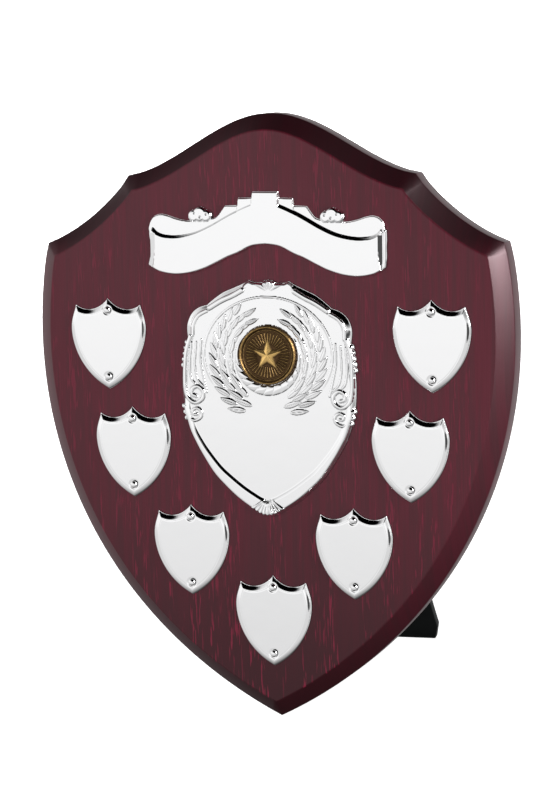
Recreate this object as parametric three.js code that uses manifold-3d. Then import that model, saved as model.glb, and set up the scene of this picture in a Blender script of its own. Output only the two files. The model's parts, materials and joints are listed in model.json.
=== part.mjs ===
// Presentation shield: a bevelled wooden shield on a folding easel strut, dressed with a title
// scroll, an embossed centre shield with a bronze centre, and seven pinned record shields.
// Millimetres. The finished assembly stands on z = 0, faces -Y and leans back about the X axis.

import * as THREE from 'three';
import { mergeVertices } from 'three/addons/utils/BufferGeometryUtils.js';
import Module from 'manifold-3d';

const wasm = await Module();
wasm.setup();

// Driving dimensions of the wooden board
const board_thickness = 18.2;
const bevel_width = 6.8;
const bevel_drop = 7.5;
const tip_margin = 23.2;
const top_margin = 32.3;
const side_margin = 16.6;
const lean_angle = 12;

// Driving dimensions of the plates and the spaces between them
const record_width = 33.3;
const record_height = 38.4;
const record_thickness = 1.5;
const record_rim = 1.3;
const centre_width = 76.8;
const centre_height = 99.8;
const centre_thickness = 2;
const centre_rim = 4.8;
const scroll_width = 104;
const scroll_height = 35.6;
const scroll_thickness = 1.1;
const scroll_band_rise = 0.9;
const disc_diameter = 25;
const disc_thickness = 2.4;
const disc_sink = 0.6;
const sheet_edge = 0.5;
const scroll_gap = 14.4;
const tip_gap = 25;
const row_1_side_gap = 15.5;
const row_2_side_gap = 5.6;
const row_3_side_gap = 2.4;
const row_3_rise = 29.3;
const row_2_gap = 2.9;
const row_1_gap = 7.4;
const centre_shield_turn = -1.3;
const scroll_turn = -0.6;

// Driving dimensions of the record shield pins
const pin_head_diameter = 3;
const pin_head_height = 1.1;
const pin_shank_diameter = 1.2;
const pin_shank_length = 6;
const pin_top_inset = 4.9;
const pin_bottom_inset = 5.3;

// Driving dimensions of the easel strut and its hinge
const strut_thickness = 4;
const strut_foot_width = 91;
const strut_sole_width = 87.4;
const strut_top_width = 50;
const strut_corner_height = 7;
const foot_spread = 85;
const hinge_height = 178;
const hinge_width = 44;
const hinge_leaf_height = 17;
const hinge_leaf_thickness = 1;
const knuckle_diameter = 6;
const knuckle_middle_width = 20;
const hinge_pin_diameter = 2.8;
const hinge_pin_end = 1;
const stop_lug_width = 14;
const stop_lug_length = 7;
const screw_head_diameter = 4.4;
const screw_head_height = 1.3;
const screw_shank_diameter = 2;
const screw_length = 9;
const screw_spacing = 30;

// Clearances, and the depth left beyond the end of a pin or a screw
const seat_gap = 0.25;
const hole_clearance = 0.25;
const bore_clearance = 0.1;
const side_clearance = 0.4;
const end_clearance = 1;

const degree = Math.PI / 180;

// Solid helpers: closed meshes in, joined or cut meshes out

function toSolid(geometry) {
  const bare = geometry.clone();
  bare.deleteAttribute('normal');
  bare.deleteAttribute('uv');
  const merged = mergeVertices(bare, 1e-4);
  return new wasm.Manifold(new wasm.Mesh({
    numProp: 3,
    vertProperties: new Float32Array(merged.attributes.position.array),
    triVerts: new Uint32Array(merged.index.array),
  }));
}

function toGeometry(solid) {
  const mesh = solid.getMesh();
  const geometry = new THREE.BufferGeometry();
  geometry.setAttribute('position', new THREE.BufferAttribute(mesh.vertProperties, 3));
  geometry.setIndex(new THREE.BufferAttribute(mesh.triVerts, 1));
  return geometry;
}

function joined(geometries) {
  return geometries.map(toSolid).reduce((whole, piece) => whole.add(piece));
}

function cutBy(solid, geometries) {
  return geometries.map(toSolid).reduce((left, tool) => left.subtract(tool), solid);
}

// Rings of equal length, lowest first, skinned into one closed body with flat ends
function loft(rings) {
  const count = rings[0].length;
  const faces = [];
  const endFaces = (ring) => THREE.ShapeUtils.triangulateShape(
    ring.map((p) => new THREE.Vector2(p.x, p.y)), []);
  for (const [a, b, c] of endFaces(rings[0])) faces.push(c, b, a);
  for (let level = 0; level < rings.length - 1; level += 1) {
    for (let i = 0; i < count; i += 1) {
      const a = level * count + i;
      const b = level * count + (i + 1) % count;
      faces.push(a, b, b + count, a, b + count, a + count);
    }
  }
  const top = (rings.length - 1) * count;
  for (const [a, b, c] of endFaces(rings.at(-1))) faces.push(top + a, top + b, top + c);
  const geometry = new THREE.BufferGeometry().setFromPoints(rings.flat());
  geometry.setIndex(faces);
  return geometry;
}

function inset(outline, distance) {
  const inward = (a, b) => new THREE.Vector2(a.y - b.y, b.x - a.x).normalize();
  return outline.map((p, i) => {
    const before = inward(outline.at(i - 1), p);
    const after = inward(p, outline[(i + 1) % outline.length]);
    const reach = distance / (1 + before.dot(after));
    return p.clone().addScaledVector(before, reach).addScaledVector(after, reach);
  });
}

// A plate whose edge follows steps of [inset from the outline, height]
function plate(outline, steps) {
  return loft(steps.map(([distance, z]) => inset(outline, distance)
    .map((p) => new THREE.Vector3(p.x, p.y, z))));
}

// Right half, from the bottom centre up to the top centre, completed by its mirror image
function mirrored(half) {
  const left = half.slice(1, -1).reverse().map((p) => new THREE.Vector2(-p.x, p.y));
  return [...half, ...left];
}

function bezier(points, steps, scale_x, scale_y) {
  const [a, b, c, d] = points.map(([x, y]) => new THREE.Vector2(x * scale_x, y * scale_y));
  return new THREE.CubicBezierCurve(a, b, c, d).getPoints(steps);
}

// Curves of [four control points, steps] laid end to end, without doubled joints
function chain(curves, scale_x, scale_y) {
  return curves.flatMap(([points, steps], i) => bezier(points, steps, scale_x, scale_y)
    .slice(i ? 1 : 0));
}

function rod(radius, length, sides) {
  return new THREE.CylinderGeometry(radius, radius, length, sides);
}

function box(x0, x1, y0, y1, z0, z1) {
  return new THREE.BoxGeometry(x1 - x0, y1 - y0, z1 - z0)
    .translate((x0 + x1) / 2, (y0 + y1) / 2, (z0 + z1) / 2);
}

// Carved details stand on their plate and run a root down into it. Parts joined edge to edge
// lap by the weld
const carving_root = 0.7;
const weld = 0.5;

function ridge(path, half_widths, height, z) {
  const count = path.length;
  const points = [];
  path.forEach((p, i) => {
    const ahead = path[Math.min(i + 1, count - 1)];
    const behind = path[Math.max(i - 1, 0)];
    const along = new THREE.Vector2().subVectors(ahead, behind).normalize();
    const side = new THREE.Vector2(along.y, -along.x).multiplyScalar(half_widths[i]);
    points.push(new THREE.Vector3(p.x + side.x, p.y + side.y, z - carving_root));
    points.push(new THREE.Vector3(p.x - side.x, p.y - side.y, z - carving_root));
    points.push(new THREE.Vector3(p.x, p.y, z + height * half_widths[i] / Math.max(...half_widths)));
  });
  const faces = [0, 2, 1];
  for (let i = 0; i < count - 1; i += 1) {
    const [l, r, t] = [3 * i, 3 * i + 1, 3 * i + 2];
    faces.push(l, r, r + 3, l, r + 3, l + 3);
    faces.push(r, t, t + 3, r, t + 3, r + 3);
    faces.push(t, l, l + 3, t, l + 3, t + 3);
  }
  const last = 3 * (count - 1);
  faces.push(last, last + 1, last + 2);
  const geometry = new THREE.BufferGeometry().setFromPoints(points);
  geometry.setIndex(faces);
  return geometry;
}

function dome(x, y, z, radius, height, sides) {
  const profile = [[0, -carving_root], [radius, -carving_root],
    [radius * 0.72, height * 0.7], [0, height]];
  const points = profile.map(([r, h]) => new THREE.Vector2(r, h));
  return new THREE.LatheGeometry(points, sides).rotateX(Math.PI / 2).translate(x, y, z);
}

// Almond leaf from its base at (x, y), pointing along the angle
function leaf(x, y, z, angle, length, width, height) {
  const shares = [[0, 0.15], [0.45, 1], [1, 0.1]];
  const path = shares.map(([along]) => new THREE.Vector2(
    x + along * length * Math.cos(angle), y + along * length * Math.sin(angle)));
  return ridge(path, shares.map(([, share]) => share * width / 2), height, z);
}

// Scrolled end: a centre bead, a sunk ring and a raised ring
function volute(x, y, z, radius, height) {
  const profile = [[0, -carving_root], [radius, -carving_root], [radius * 0.78, height],
    [radius * 0.55, height * 0.35], [0, height * 0.9]];
  const points = profile.map(([r, h]) => new THREE.Vector2(r, h));
  return new THREE.LatheGeometry(points, 8).rotateX(Math.PI / 2).translate(x, y, z);
}

// Layout: heights are measured up the board's face from its tip, widths from its centre line
const record_tip = tip_margin;
const centre_bottom = record_tip + record_height + tip_gap;
const centre_top = centre_bottom + centre_height;
const centre_middle = centre_bottom + centre_height / 2;
const scroll_arch_share = 0.383;
const scroll_arch = scroll_height * scroll_arch_share;
const scroll_bottom = centre_top + scroll_gap - scroll_arch;
const board_height = scroll_bottom + scroll_height + top_margin;
const row_1_x = centre_width / 2 + row_1_side_gap + record_width / 2;
const row_2_x = centre_width / 2 + row_2_side_gap + record_width / 2;
const row_3_x = record_width + row_3_side_gap;
const row_3_y = record_tip + row_3_rise;
const row_2_y = row_3_y + record_height + row_2_gap;
const row_1_y = row_2_y + record_height + row_1_gap;
const board_width = 2 * (row_1_x + record_width / 2 + side_margin);
const record_places = [
  [-row_1_x, row_1_y], [row_1_x, row_1_y],
  [-row_2_x, row_2_y], [row_2_x, row_2_y],
  [-row_3_x, row_3_y], [row_3_x, row_3_y],
  [0, record_tip],
];
const record_pin_heights = [record_height - pin_top_inset, pin_bottom_inset];
const pin_seat = seat_gap + record_thickness + seat_gap;
const knuckle_radius = knuckle_diameter / 2;
const hinge_axis_offset = knuckle_radius + seat_gap;
const leaf_start = knuckle_radius + side_clearance;
const screw_height = (leaf_start + hinge_leaf_height) / 2;

// Wooden board. Half outline in shares of the half width and the height
const board_curves = [
  [[[0, 0], [0.622, 0.124], [1, 0.36], [1, 0.641]], 15],
  [[[1, 0.641], [1, 0.686], [0.986, 0.756], [0.961, 0.788]], 5],
  [[[0.961, 0.788], [0.768, 0.817], [0.624, 0.884], [0.605, 0.9]], 7],
  [[[0.605, 0.9], [0.396, 0.912], [0.216, 1], [0, 1]], 11],
];

function shieldBoard() {
  const outline = mirrored(chain(board_curves, board_width / 2, board_height));
  const body = toSolid(plate(outline, [
    [0, -board_thickness], [0, -bevel_drop], [bevel_width, 0],
  ]));
  const pilot_depth = pin_shank_length - pin_seat + end_clearance;
  const pin_holes = record_places.flatMap(([x, y]) => record_pin_heights.map((height) => (
    rod(pin_shank_diameter / 2 + hole_clearance, 2 * pilot_depth, 6)
      .rotateX(Math.PI / 2).translate(x, y + height, 0))));
  const screw_holes = [-1, 1].map((side) => (
    rod(screw_shank_diameter / 2 + hole_clearance, 2 * screw_length, 8).rotateX(Math.PI / 2)
      .translate(side * screw_spacing / 2, hinge_height + screw_height, -board_thickness)));
  return toGeometry(cutBy(body, [...pin_holes, ...screw_holes]));
}

// Record shield: a scalloped top with three points, bulging sides, one narrow pressed rim
const record_curves = [
  [[[0, 0], [0.753, 0.166], [1, 0.482], [1, 0.677]], 6],
  [[[1, 0.677], [1, 0.78], [0.9, 0.86], [0.862, 0.93]], 3],
  [[[0.862, 0.93], [0.66, 0.855], [0.28, 0.845], [0, 1]], 5],
];

function recordShield() {
  const outline = mirrored(chain(record_curves, record_width / 2, record_height));
  const body = toSolid(plate(outline, [
    [0, 0], [0, sheet_edge], [record_rim, record_thickness],
  ]));
  const holes = record_pin_heights.map((height) => rod(
    pin_shank_diameter / 2 + hole_clearance, 4 * record_thickness, 6)
    .rotateX(Math.PI / 2).translate(0, height, 0));
  return toGeometry(cutBy(body, holes));
}

function recordPin() {
  const radius = pin_head_diameter / 2;
  const shank = pin_shank_diameter / 2;
  const profile = [[0, -pin_shank_length], [shank, -pin_shank_length], [shank, 0],
    [radius, 0], [radius * 0.8, pin_head_height * 0.7], [0, pin_head_height]];
  const points = profile.map(([r, h]) => new THREE.Vector2(r, h));
  return new THREE.LatheGeometry(points, 6).rotateX(Math.PI / 2);
}

// Title scroll. Half outline and ribbon band in shares of the half width and the height
const scroll_lower = [
  [[0, scroll_arch_share], [0.25, scroll_arch_share], [0.45, 0.02], [0.77, 0.02]], 8];
const scroll_curves = [
  scroll_lower,
  [[[0.77, 0.02], [0.85, 0.02], [0.93, 0.06], [0.995, 0.135]], 4],
  [[[0.995, 0.135], [0.985, 0.3], [0.975, 0.42], [0.99, 0.6]], 4],
  [[[0.99, 0.6], [0.985, 0.69], [0.93, 0.73], [0.88, 0.725]], 4],
  [[[0.88, 0.725], [0.8, 0.69], [0.7, 0.67], [0.4, 0.665]], 5],
  [[[0.4, 0.665], [0.385, 0.7], [0.365, 0.8], [0.345, 0.83]], 4],
];
const scroll_steps = [[0.245, 0.83], [0.24, 0.925], [0.125, 0.925], [0.12, 1], [0, 1]];
const fold_curve = [[[0.95, 0.555], [0.62, 0.36], [0.42, 0.85], [0, 0.865]], 8];
const end_curl = [[0.965, 0.15], [0.955, 0.35], [0.965, 0.6]];
const end_curl_widths = [1.1, 1.3, 1.5];
const band_inset = 0.2;
const band_edge = 1;
const rosette_place = [0.565, 0.712];
const rosette_petals = 4;
const petal_radius = 2.5;
const petal_height = 0.8;
const petal_reach_x = 2.8;
const petal_reach_y = 1.8;
const rosette_eye = 1.3;

function titleScroll() {
  const half_width = scroll_width / 2;
  const half = chain(scroll_curves, half_width, scroll_height);
  for (const [x, y] of scroll_steps) half.push(new THREE.Vector2(x * half_width, y * scroll_height));
  const body = plate(mirrored(half), [
    [0, 0], [0, sheet_edge], [scroll_thickness - sheet_edge, scroll_thickness],
  ]);
  const band_half = chain([
    scroll_lower,
    [[[0.77, 0.02], [0.84, 0.02], [0.91, 0.055], [0.955, 0.12]], 4],
    [[[0.955, 0.12], [0.945, 0.28], [0.94, 0.42], [0.95, 0.555]], 3],
    fold_curve,
  ], half_width, scroll_height);
  const band_top = scroll_thickness + scroll_band_rise;
  const band = plate(inset(mirrored(band_half), band_inset), [
    [0, sheet_edge / 2], [0, scroll_thickness], [band_edge, band_top],
  ]);
  const details = [body, band];
  for (const side of [1, -1]) {
    const curl = end_curl.map(([x, y]) => new THREE.Vector2(
      side * x * half_width, y * scroll_height));
    details.push(ridge(curl, end_curl_widths, scroll_band_rise, scroll_thickness));
    const boss_x = side * rosette_place[0] * half_width;
    const boss_y = rosette_place[1] * scroll_height;
    for (let k = 0; k < rosette_petals; k += 1) {
      const turn = k * 2 * Math.PI / rosette_petals;
      details.push(dome(boss_x + petal_reach_x * Math.cos(turn),
        boss_y + petal_reach_y * Math.sin(turn), scroll_thickness, petal_radius, petal_height, 6));
    }
    details.push(dome(boss_x, boss_y, scroll_thickness, rosette_eye, rosette_eye, 6));
  }
  return toGeometry(joined(details));
}

// Centre shield: a pressed plate with a broad rolled rim, a wreath and rope about its bronze
// centre, scrolled side columns with beads, and a shell at head and foot. Its zero is its middle
const centre_curves = [
  [[[0, -0.5], [0.62, -0.408], [1, -0.177], [1, 0.04]], 10],
  [[[1, 0.04], [1, 0.16], [0.95, 0.2], [0.93, 0.27]], 4],
  [[[0.93, 0.27], [0.92, 0.35], [0.8, 0.37], [0.68, 0.4]], 5],
  [[[0.68, 0.4], [0.5, 0.45], [0.32, 0.485], [0, 0.485]], 5],
];
const medallion_height = centre_height * 0.184;
const medallion_reach_x = centre_width * 0.365;
const medallion_reach_y = centre_height * 0.244;
const medallion_line = 0.55;
const medallion_line_ends = [-14, 194];
const centre_rim_rise = 0.45;
const carving_rise = 0.9;
const branch_gap = 10.7;
const branch_closing = 3.4;
const leaf_length = 8.6;
const leaf_width = 3;
const leaves_per_branch = 6;
const rope_gap = 2.6;
const strand_length = 5.4;
const strand_width = 2.9;
const rope_strands = 13;
const large_volute = 2.9;
const small_volute = 2.2;
const bead_radius = 1.3;
const upper_beads = 5;
const lower_beads = 3;
const foot_shell_reach = 8.8;
const foot_shell_flutes = 9;
const head_shell_reach = 7.2;
const head_shell_flutes = 5;

function arc(centre_y, reach_x, reach_y, from, to, steps) {
  return Array.from({ length: steps + 1 }, (_, i) => {
    const turn = (from + (to - from) * i / steps) * degree;
    return new THREE.Vector2(reach_x * Math.cos(turn), centre_y + reach_y * Math.sin(turn));
  });
}

// Two laurel branches, three leaves abreast, rising from the crossing under the medallion
function wreath(field) {
  const leaves = [];
  for (const side of [1, -1]) {
    for (let k = 0; k < leaves_per_branch; k += 1) {
      const share = k / (leaves_per_branch - 1);
      const turn = (-62 + 122 * share) * degree;
      const reach = disc_diameter / 2 + branch_gap - branch_closing * Math.min(1, 2 * share);
      const x = reach * Math.cos(turn);
      const y = medallion_height + reach * Math.sin(turn);
      for (const spread of [-0.5, 0, 0.5]) {
        const heading = turn + Math.PI / 2 - spread;
        const size = 1 - 0.25 * share - 0.12 * Math.abs(spread);
        leaves.push(leaf(side * x, y, field, side > 0 ? heading : Math.PI - heading,
          leaf_length * size, leaf_width * size, carving_rise * (spread ? 1 : 1.3)));
      }
    }
  }
  return leaves;
}

// Twisted rope round the lower part of the bronze, thickest at its foot
function rope(field) {
  const strands = [];
  const rope_radius = disc_diameter / 2 + rope_gap;
  for (let k = 0; k < rope_strands; k += 1) {
    const share = k / (rope_strands - 1);
    const turn = (-215 + 250 * share) * degree;
    const size = 0.45 + 0.55 * Math.sin(Math.PI * share);
    const heading = turn + 0.95;
    const length = strand_length * size;
    const x = rope_radius * Math.cos(turn) - length / 2 * Math.cos(heading);
    const y = medallion_height + rope_radius * Math.sin(turn) - length / 2 * Math.sin(heading);
    strands.push(leaf(x, y, field, heading, length, strand_width * size, carving_rise));
  }
  return strands;
}

// Scrolled column with beads on its outer edge, and two scrolls over the shoulder, for one side.
// Their paths are shares of the shield's half width and height
const column_scroll = [[0.891, 0.256], [0.943, 0.18], [0.969, 0.09], [0.974, 0.015],
  [0.932, -0.03], [0.846, -0.036]];
const column_flutes = [
  [[0.87, 0.22], [0.901, 0.12], [0.896, 0.03]],
  [[0.802, 0.22], [0.839, 0.12], [0.849, 0.05]],
];
const shoulder_scrolls = [
  [[0.182, 0.473], [0.391, 0.445], [0.573, 0.411], [0.69, 0.381]],
  [[0.703, 0.373], [0.82, 0.346], [0.885, 0.301], [0.891, 0.257]],
];

function sideColumn(side, field) {
  const at = ([x, y]) => new THREE.Vector2(side * x * centre_width / 2, y * centre_height);
  const steps = 6;
  const path = new THREE.SplineCurve(column_scroll.map(at)).getPoints(steps);
  const widths = path.map((_, i) => 0.9 + 0.7 * Math.sin(Math.PI * i / steps));
  const details = [ridge(path, widths, 1.3 * carving_rise, 0.75 * field)];
  for (const flute of column_flutes) {
    details.push(ridge(flute.map(at), [0.5, 0.8, 0.5], 0.85 * carving_rise, field));
  }
  for (const scroll_path of shoulder_scrolls) {
    details.push(ridge(scroll_path.map(at), [0.7, 1.9, 1.8, 0.6], 1.1 * carving_rise, 0.85 * field));
  }
  const upper = at([0.828, 0.012]);
  const lower = at([0.818, -0.072]);
  details.push(volute(upper.x, upper.y, field, large_volute, 1.3 * carving_rise));
  details.push(volute(lower.x, lower.y, 0.9 * field, small_volute, 1.1 * carving_rise));
  const rows = [
    [upper_beads, [0.905, 0.2285], [0.0125, -0.024]],
    [lower_beads, [0.955, -0.04], [-0.015, -0.025]],
  ];
  for (const [count, start, step] of rows) {
    for (let k = 0; k < count; k += 1) {
      const bead = at([start[0] + k * step[0], start[1] + k * step[1]]);
      details.push(dome(bead.x, bead.y, 0.45 * field, bead_radius, bead_radius, 5));
    }
  }
  return details;
}

function shell(centre_y, reach, heading, flutes, spread, field) {
  const details = [];
  for (let k = 0; k < flutes; k += 1) {
    const turn = heading + spread * (k / (flutes - 1) - 0.5);
    const ray = [0.22, 0.8, 1].map((share) => new THREE.Vector2(
      share * reach * Math.cos(turn), centre_y + share * reach * Math.sin(turn)));
    const half = 0.55 * reach * spread / (flutes - 1);
    details.push(ridge(ray, [0.3 * half, half, 0.6 * half], carving_rise, field));
  }
  return details;
}

function centreShield() {
  const half = chain(centre_curves, centre_width / 2, centre_height);
  const crest = centre_thickness + centre_rim_rise;
  const field = centre_thickness;
  const down = -Math.PI / 2;
  const up = Math.PI / 2;
  const body = toSolid(plate(mirrored(half), [
    [0, 0], [0, sheet_edge], [0.3 * centre_rim, 0.62 * crest], [0.72 * centre_rim, crest],
    [centre_rim, field],
  ]));
  const details = [
    ...wreath(field),
    ...rope(field),
    ...sideColumn(1, field),
    ...sideColumn(-1, field),
    ...shell(-0.415 * centre_height, foot_shell_reach, down, foot_shell_flutes, 2, 0.65 * field),
    ...shell(0.43 * centre_height, head_shell_reach, up, head_shell_flutes, 1.5, 0.65 * field),
  ];
  const ring_path = arc(medallion_height, medallion_reach_x, medallion_reach_y,
    ...medallion_line_ends, 16);
  details.push(ridge(ring_path, ring_path.map(() => medallion_line), 0.4, field));
  const whole = details.map(toSolid).reduce((sum, detail) => sum.add(detail), body);
  const seat_height = 2 * (disc_sink + carving_rise + centre_thickness);
  const seat = rod(disc_diameter / 2 + hole_clearance, seat_height, 28).rotateX(Math.PI / 2)
    .translate(0, medallion_height, field - disc_sink + seat_height / 2);
  return toGeometry(cutBy(whole, [seat]));
}

// Bronze centre: a rimmed disc with a five-pointed star over a ring of rays
function centreDisc() {
  const radius = disc_diameter / 2;
  const low = 0.5 * disc_thickness;
  const profile = [[0, 0], [radius, 0], [radius, 0.75 * disc_thickness],
    [0.944 * radius, disc_thickness], [0.888 * radius, 0.8 * disc_thickness],
    [0.84 * radius, low], [0, low]];
  const body = new THREE.LatheGeometry(profile.map(([r, h]) => new THREE.Vector2(r, h)), 24)
    .rotateX(Math.PI / 2);
  const star = Array.from({ length: 10 }, (_, i) => {
    const reach = i % 2 ? 0.25 * radius : 0.62 * radius;
    const turn = Math.PI / 2 + i * Math.PI / 5;
    return new THREE.Vector3(reach * Math.cos(turn), reach * Math.sin(turn), low - carving_root);
  });
  const peak = star.map((p) => new THREE.Vector3(0.05 * p.x, 0.05 * p.y, disc_thickness));
  const rays = Array.from({ length: 10 }, (_, i) => {
    const turn = Math.PI / 10 + i * Math.PI / 5;
    const ray = [0.42, 0.76].map((share) => new THREE.Vector2(
      share * radius * Math.cos(turn), share * radius * Math.sin(turn)));
    return ridge(ray, [0.024 * radius, 0.056 * radius], 0.2 * disc_thickness, low);
  });
  return toGeometry(joined([body, loft([star, peak]), ...rays]));
}

// Hinge and strut share one frame: x along the pin, y up the board, z out of the board's face,
// with the pin's axis as zero. The strut is drawn folded flat and turned by its opening angle
const lean = lean_angle * degree;
const pin_height = hinge_height * Math.cos(lean) - hinge_axis_offset * Math.sin(lean);
const foot_reach = foot_spread - hinge_height * Math.sin(lean) - hinge_axis_offset * Math.cos(lean);
const strut_slope = Math.atan2(foot_reach, pin_height);
const strut_length = Math.hypot(foot_reach, pin_height);
const opening_angle = strut_slope + lean;
const bore_radius = hinge_pin_diameter / 2 + bore_clearance;
const outer_knuckle = (hinge_width - knuckle_middle_width) / 2 - side_clearance;

function knuckle(x, width) {
  return rod(knuckle_radius, width, 10).rotateZ(Math.PI / 2).translate(x, 0, 0);
}

function pinBore() {
  return rod(bore_radius, 2 * hinge_width, 12).rotateZ(Math.PI / 2);
}

// Holes right through whatever lies at this height above or below the pin
function fasteningHoles(y) {
  const depth = 4 * (knuckle_diameter + strut_thickness);
  return [-1, 1].map((side) => rod(screw_shank_diameter / 2 + hole_clearance, depth, 8)
    .rotateX(Math.PI / 2).translate(side * screw_spacing / 2, y, 0));
}

function boardLeaf() {
  const back = hinge_axis_offset - seat_gap;
  const front = back - hinge_leaf_thickness;
  const half = hinge_width / 2;
  const whole = joined([
    box(-half, half, leaf_start, hinge_leaf_height, front, back),
    ...[-1, 1].flatMap((side) => {
      const middle = side * (half - outer_knuckle / 2);
      return [
        box(middle - outer_knuckle / 2, middle + outer_knuckle / 2, 0, leaf_start + weld, front, back),
        knuckle(middle, outer_knuckle),
      ];
    }),
  ]);
  return toGeometry(cutBy(whole, [pinBore(), ...fasteningHoles(screw_height)]));
}

function strutLeaf() {
  const front = -strut_thickness / 2 - seat_gap;
  const back = front - hinge_leaf_thickness;
  const half = hinge_width / 2;
  const half_middle = knuckle_middle_width / 2;
  const lug = box(-stop_lug_width / 2, stop_lug_width / 2, 0, stop_lug_length,
    hinge_axis_offset - 2 * seat_gap - 2 * hinge_leaf_thickness,
    hinge_axis_offset - 2 * seat_gap - hinge_leaf_thickness).rotateX(-opening_angle);
  const whole = joined([
    box(-half, half, -hinge_leaf_height, -leaf_start, back, front),
    box(-half_middle, half_middle, -leaf_start - weld, 0, back, front),
    knuckle(0, knuckle_middle_width),
    lug,
  ]);
  return toGeometry(cutBy(whole, [pinBore(), ...fasteningHoles(-screw_height)]));
}

function hingePin() {
  return rod(hinge_pin_diameter / 2, hinge_width + 2 * hinge_pin_end, 12).rotateZ(Math.PI / 2);
}

// Flat strut, widening to its foot, with clipped lower corners and a sole cut level
function easelStrut() {
  const outline = [
    [-strut_sole_width / 2, -strut_length], [strut_sole_width / 2, -strut_length],
    [strut_foot_width / 2, -strut_length + strut_corner_height],
    [strut_top_width / 2, -leaf_start], [-strut_top_width / 2, -leaf_start],
    [-strut_foot_width / 2, -strut_length + strut_corner_height],
  ];
  const rings = [-strut_thickness / 2, strut_thickness / 2].map((z) => outline.map(([x, y], i) => (
    new THREE.Vector3(x, i < 2 ? y + z * Math.tan(strut_slope) : y, z))));
  return toGeometry(cutBy(toSolid(loft(rings)), fasteningHoles(-screw_height)));
}

// Screw or rivet with its shank along -z and its domed head on +z
function fastener(shank_length) {
  const head = screw_head_diameter / 2;
  const shank = screw_shank_diameter / 2;
  const profile = [[0, -shank_length], [shank, -shank_length], [shank, 0], [head, 0],
    [head * 0.7, screw_head_height * 0.8], [0, screw_head_height]];
  return new THREE.LatheGeometry(profile.map(([r, h]) => new THREE.Vector2(r, h)), 6)
    .rotateX(Math.PI / 2);
}

// Materials
const veneer = () => new THREE.MeshStandardMaterial({ color: 0x57323a, roughness: 0.42 });
const chrome = () => new THREE.MeshStandardMaterial({ color: 0xe9e9ea, roughness: 0.08, metalness: 1 });
const bronze = () => new THREE.MeshStandardMaterial({ color: 0x8a6a32, roughness: 0.38, metalness: 0.9 });
const black_paint = () => new THREE.MeshStandardMaterial({ color: 0x0c0c0d, roughness: 0.5 });
const zinc = () => new THREE.MeshStandardMaterial({ color: 0xa8a9ab, roughness: 0.35, metalness: 1 });

function piece(name, geometry, material) {
  const mesh = new THREE.Mesh(geometry, material);
  mesh.name = name;
  return mesh;
}

// Assembly
const shield = new THREE.Group();
const board_frame = new THREE.Group();
board_frame.rotation.x = Math.PI / 2 - lean;
shield.add(board_frame);
board_frame.add(piece('shield_board', shieldBoard(), veneer()));

const scroll = piece('title_scroll', titleScroll(), chrome());
scroll.position.set(0, scroll_bottom, seat_gap);
scroll.rotation.z = scroll_turn * degree;
board_frame.add(scroll);

const centre_group = new THREE.Group();
centre_group.position.set(0, centre_middle, seat_gap);
centre_group.rotation.z = centre_shield_turn * degree;
board_frame.add(centre_group);
centre_group.add(piece('centre_shield', centreShield(), chrome()));
const disc = piece('centre_disc', centreDisc(), bronze());
disc.position.set(0, medallion_height, centre_thickness - disc_sink + seat_gap);
centre_group.add(disc);

record_places.forEach(([x, y], i) => {
  const name = `record_shield_${i + 1}`;
  const record = piece(name, recordShield(), chrome());
  record.position.set(x, y, seat_gap);
  board_frame.add(record);
  record_pin_heights.forEach((height, k) => {
    const pin = piece(`${name}_pin_${['top', 'bottom'][k]}`, recordPin(), chrome());
    pin.position.set(x, y + height, pin_seat);
    board_frame.add(pin);
  });
});

const hinge_frame = new THREE.Group();
hinge_frame.position.set(0, hinge_height, -board_thickness - hinge_axis_offset);
board_frame.add(hinge_frame);
hinge_frame.add(piece('hinge_board_leaf', boardLeaf(), zinc()));
hinge_frame.add(piece('hinge_pin', hingePin(), zinc()));

const strut_frame = new THREE.Group();
strut_frame.rotation.x = opening_angle;
hinge_frame.add(strut_frame);
strut_frame.add(piece('easel_strut', easelStrut(), black_paint()));
strut_frame.add(piece('hinge_strut_leaf', strutLeaf(), zinc()));

['left', 'right'].forEach((hand, i) => {
  const x = (2 * i - 1) * screw_spacing / 2;
  const screw = piece(`board_screw_${hand}`, fastener(screw_length - seat_gap), zinc());
  screw.rotation.y = Math.PI;
  screw.position.set(x, screw_height, hinge_axis_offset - 2 * seat_gap - hinge_leaf_thickness);
  hinge_frame.add(screw);
  const rivet = piece(`strut_rivet_${hand}`,
    fastener(strut_thickness + hinge_leaf_thickness + seat_gap), zinc());
  rivet.rotation.y = Math.PI;
  rivet.position.set(x, -screw_height,
    -strut_thickness / 2 - 2 * seat_gap - hinge_leaf_thickness);
  strut_frame.add(rivet);
});

// The origin is the middle of the footprint, on the ground
shield.updateMatrixWorld(true);
const extent = new THREE.Box3().setFromObject(shield, true);
const middle = extent.getCenter(new THREE.Vector3());
board_frame.position.set(-middle.x, -middle.y, -extent.min.z);

export default shield;
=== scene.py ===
import json
import math

import bmesh
import bpy
import numpy as np
from mathutils import Matrix, Vector
from mathutils.geometry import interpolate_bezier


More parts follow.
